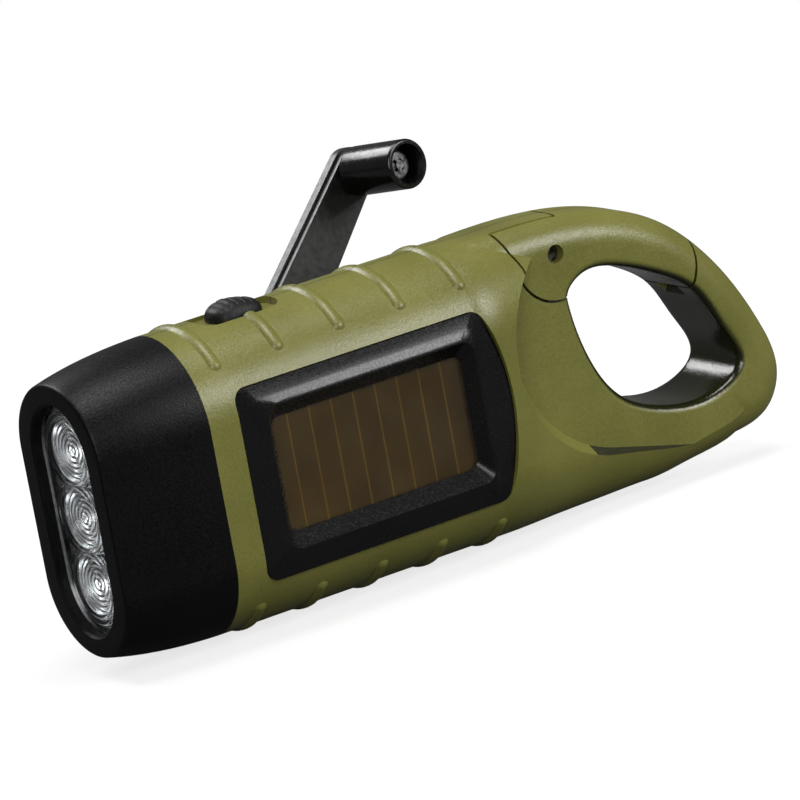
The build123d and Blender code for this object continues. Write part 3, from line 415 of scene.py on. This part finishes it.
def lensPlate():
    s = lensSettings
    angles = np.linspace(0, 2 * np.pi, s["around"], endpoint=False)
    reach = lensReach(angles)

    def ring(x, extra):
        y, z = (reach + extra) * np.sin(angles), (reach + extra) * np.cos(angles)
        return np.stack([np.full_like(y, x), y, z], axis=-1)

    scaled = np.linspace(s["inner"], 1.0, s["steps"])[:, None] * reach
    y, z = scaled * np.sin(angles), scaled * np.cos(angles)
    front, back = lensSurfaces(y, z)
    sides = [ring(s["step"], 0.0), ring(s["step"], s["flange"]), ring(s["back"], s["flange"])]
    rings = np.concatenate([np.stack([front, y, z], axis=-1), sides, np.stack([back, y, z], axis=-1)[::-1]])
    middleFront, middleBack = lensSurfaces(np.zeros(1), np.zeros(1))
    points, faces = ringSolid(rings, (middleFront[0], 0, 0), (middleBack[0], 0, 0))
    piece = addPiece("lensPlate", points, faces, slotMaterials["clear_lens"], "casing")
    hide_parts("lens")


# the panel's window in mm, a hair thinner than its seat so that it doesn't touch the cell
windowSettings = {"x": (32.7, 72.8), "y": (-13.5, -12.76), "z": (-10.8, 10.8)}


def panelPane():
    s = windowSettings
    points = np.array([(x, y, z) for x in s["x"] for y in s["y"] for z in s["z"]])
    faces = np.array([(0, 1, 3, 2), (4, 6, 7, 5), (0, 4, 5, 1), (2, 3, 7, 6), (0, 2, 6, 4), (1, 5, 7, 3)])
    piece = addPiece("panelPane", points, faces, slotMaterials["panel_window"], "casing")
    makeSmooth(piece.data, False)
    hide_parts("panel_window")


# The thumb grip in mm: a hump, rounded in plan, with grooves across it. Heights are over its
# base, at places along its length. Sections, turns and bottom say how finely it is divided.
gripSettings = {
    "start": 32.95, "length": 10.1, "base": 25.32, "halfWidth": 4.1,
    "taper": 0.3, "full": 4.0, "shoulder": 3.0,
    "places": (0.0, 0.04, 0.18, 0.37, 0.6, 0.835, 0.97, 1.0),
    "heights": (0.8, 1.7, 2.6, 3.15, 2.9, 2.3, 1.2, 0.7), "softened": 4, "endHeight": 0.3,
    "grooves": (34.4, 35.9, 37.4, 38.9, 40.4), "deep": 0.2, "wide": 0.2, "inside": 0.72,
    "sections": 150, "endAngle": 0.03, "turns": 49, "bottom": 15,
}


# Each section is a flat base under a rounded top, one less a power of the distance across. The
# plan is a blunt oval, one less a power of the distance along, drawn in to the rear. Each
# groove is a bell curve along X, and the heights are a moving average of straight runs.
def sliderGrip():
    s = gripSettings
    along = 0.5 - 0.5 * np.cos(np.linspace(s["endAngle"], np.pi - s["endAngle"], s["sections"]))
    width = s["halfWidth"] * (1 - np.abs(2 * along - 1) ** s["full"]) ** 0.5 * (1 - s["taper"] * along)
    height = np.interp(along, s["places"], s["heights"])
    window = 2 * s["softened"] + 1
    height = np.convolve(np.pad(height, s["softened"], mode="edge"), np.ones(window) / window, mode="valid")
    top = np.cos(np.linspace(0, np.pi, s["turns"]))
    across = np.concatenate([top, np.linspace(-1, 1, s["bottom"] + 2)[1:-1]])
    bulge = np.concatenate([(1 - np.abs(top) ** s["shoulder"]) ** 0.5, np.zeros(s["bottom"])])
    x = np.repeat((s["start"] + s["length"] * along)[:, None], len(across), axis=1)
    grooved = sum(np.exp(-((x - groove) / s["wide"]) ** 2) for groove in s["grooves"])
    cut = s["deep"] * grooved * (np.abs(across) < s["inside"]) * (bulge > 0)
    rings = np.stack([x, width[:, None] * across, s["base"] + height[:, None] * bulge - cut], axis=-1)
    ends = [(s["start"] + s["length"] * end, 0, s["base"] + s["endHeight"]) for end in (0, 1)]
    points, faces = ringSolid(rings, *ends)
    piece = addPiece("sliderGrip", points, faces, finishOf["switch_slider"], "switch")
    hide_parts("switch_slider")


lensPlate()
panelPane()
sliderGrip()
print("lens, pane and grip made")

# camera, as fitted to the photograph: where it stands in mm, its turn and its field
cameraFit = {
    "place": (-501.48, -949.75, 280.38), "right": (0.822, -0.542, -0.175), "forward": (0.498, 0.832, -0.244),
    "lens": 299.3, "sensor": 36, "clip": (0.05, 20),
}


def addCamera():
    s = cameraFit
    data = bpy.data.cameras.new("camera")
    data.lens = s["lens"]
    data.sensor_width = s["sensor"]
    data.clip_start, data.clip_end = s["clip"]
    camera = bpy.data.objects.new("camera", data)
    bpy.context.scene.collection.objects.link(camera)
    forward = Vector(s["forward"]).normalized()
    right = Vector(s["right"])
    right = (right - forward * right.dot(forward)).normalized()
    turn = Matrix((right, right.cross(forward), -forward)).transposed().to_4x4()
    camera.matrix_world = Matrix.Translation(Vector(s["place"]) * mm) @ turn
    bpy.context.scene.camera = camera


# The floor's bounce is that of grey paper. The camera sees it white, with the shadow kept near
# the object: near and far are distances in metres and how white it is there.
floorSettings = {
    "bounce": "#5A5A5A", "paper": "#F8F8F8", "near": (0.12, 0.76), "far": (0.3, 1.0),
    "size": 6.0, "gap": 0.0005,
}
objectMiddle = (0.07, 0, 0)


# A pale floor below the lowest point, level with the world's Z
def addFloor():
    s = floorSettings
    size = s["size"]
    low = cadBox[0][2] - s["gap"]
    corners = [(-size, -size, low), (size, -size, low), (size, size, low), (-size, size, low)]
    mesh = bpy.data.meshes.new("floor")
    mesh.from_pydata(corners, [], [(0, 1, 2, 3)])
    floor = bpy.data.objects.new("floor", mesh)
    bpy.context.scene.collection.objects.link(floor)
    material, tree, place = newMaterial("floorPaper")
    bounce = addNode(tree, "ShaderNodeBsdfDiffuse", Color=linear(s["bounce"]))
    paper = addNode(tree, "ShaderNodeBsdfDiffuse", Color=linear(s["paper"]))
    white = addNode(tree, "ShaderNodeEmission", Color=(1, 1, 1, 1), Strength=1.0)
    offset = vectorWork(tree, "SUBTRACT", place, (*objectMiddle[:2], low))
    whiter = ramp(tree, vectorWork(tree, "LENGTH", offset), [s["near"], s["far"]])
    seen = mixShaders(tree, whiter, paper, white)
    path = addNode(tree, "ShaderNodeLightPath")
    finishMaterial(tree, mixShaders(tree, path.outputs["Is Camera Ray"], bounce, seen))
    mesh.materials.append(material)


# soft panels: place and size in metres, power in watts
lampSettings = {
    "topPanel": {"place": (0.12, -0.1, 0.85), "size": (0.45, 0.4), "power": 5.0},
    "frontPanel": {"place": (0.62, -0.68, 0.42), "size": (0.42, 0.4), "power": 6.0},
    "lampPanel": {"place": (-0.48, -0.78, 0.42), "size": (0.5, 0.5), "power": 4.6},
    "backPanel": {"place": (-0.1, 0.72, 0.68), "size": (0.5, 0.45), "power": 6.5},
}


def addLamp(name, place, size, power):
    data = bpy.data.lights.new(name, "AREA")
    data.shape = "RECTANGLE"
    data.size, data.size_y = size
    data.energy = power
    lamp = bpy.data.objects.new(name, data)
    bpy.context.scene.collection.objects.link(lamp)
    lamp.location = Vector(place)
    lamp.rotation_euler = (Vector(objectMiddle) - lamp.location).to_track_quat("-Z", "Y").to_euler()


# the room's light is dim; the clear lens, which faces the white backdrop, passes more of it
worldSettings = {"room": 0.13, "lens": 0.8}


def addWorld():
    s = worldSettings
    world = bpy.data.worlds.new("studio")
    bpy.context.scene.world = world
    world.use_nodes = True
    tree = world.node_tree
    tree.nodes.clear()
    path = addNode(tree, "ShaderNodeLightPath")
    seen = addNode(tree, "ShaderNodeBackground", Color=(1, 1, 1, 1), Strength=1.0)
    strength = calculate(tree, "MULTIPLY_ADD", path.outputs["Is Transmission Ray"], s["lens"], s["room"])
    lit = addNode(tree, "ShaderNodeBackground", Color=(1, 1, 1, 1), Strength=strength)
    mix = mixShaders(tree, path.outputs["Is Camera Ray"], lit, seen)
    addNode(tree, "ShaderNodeOutputWorld", Surface=mix.outputs[0])


addCamera()
addFloor()
for lampName, values in lampSettings.items():
    addLamp(lampName, **values)
addWorld()
bpy.context.scene.view_settings.view_transform = "Standard"
print("camera and lights set")
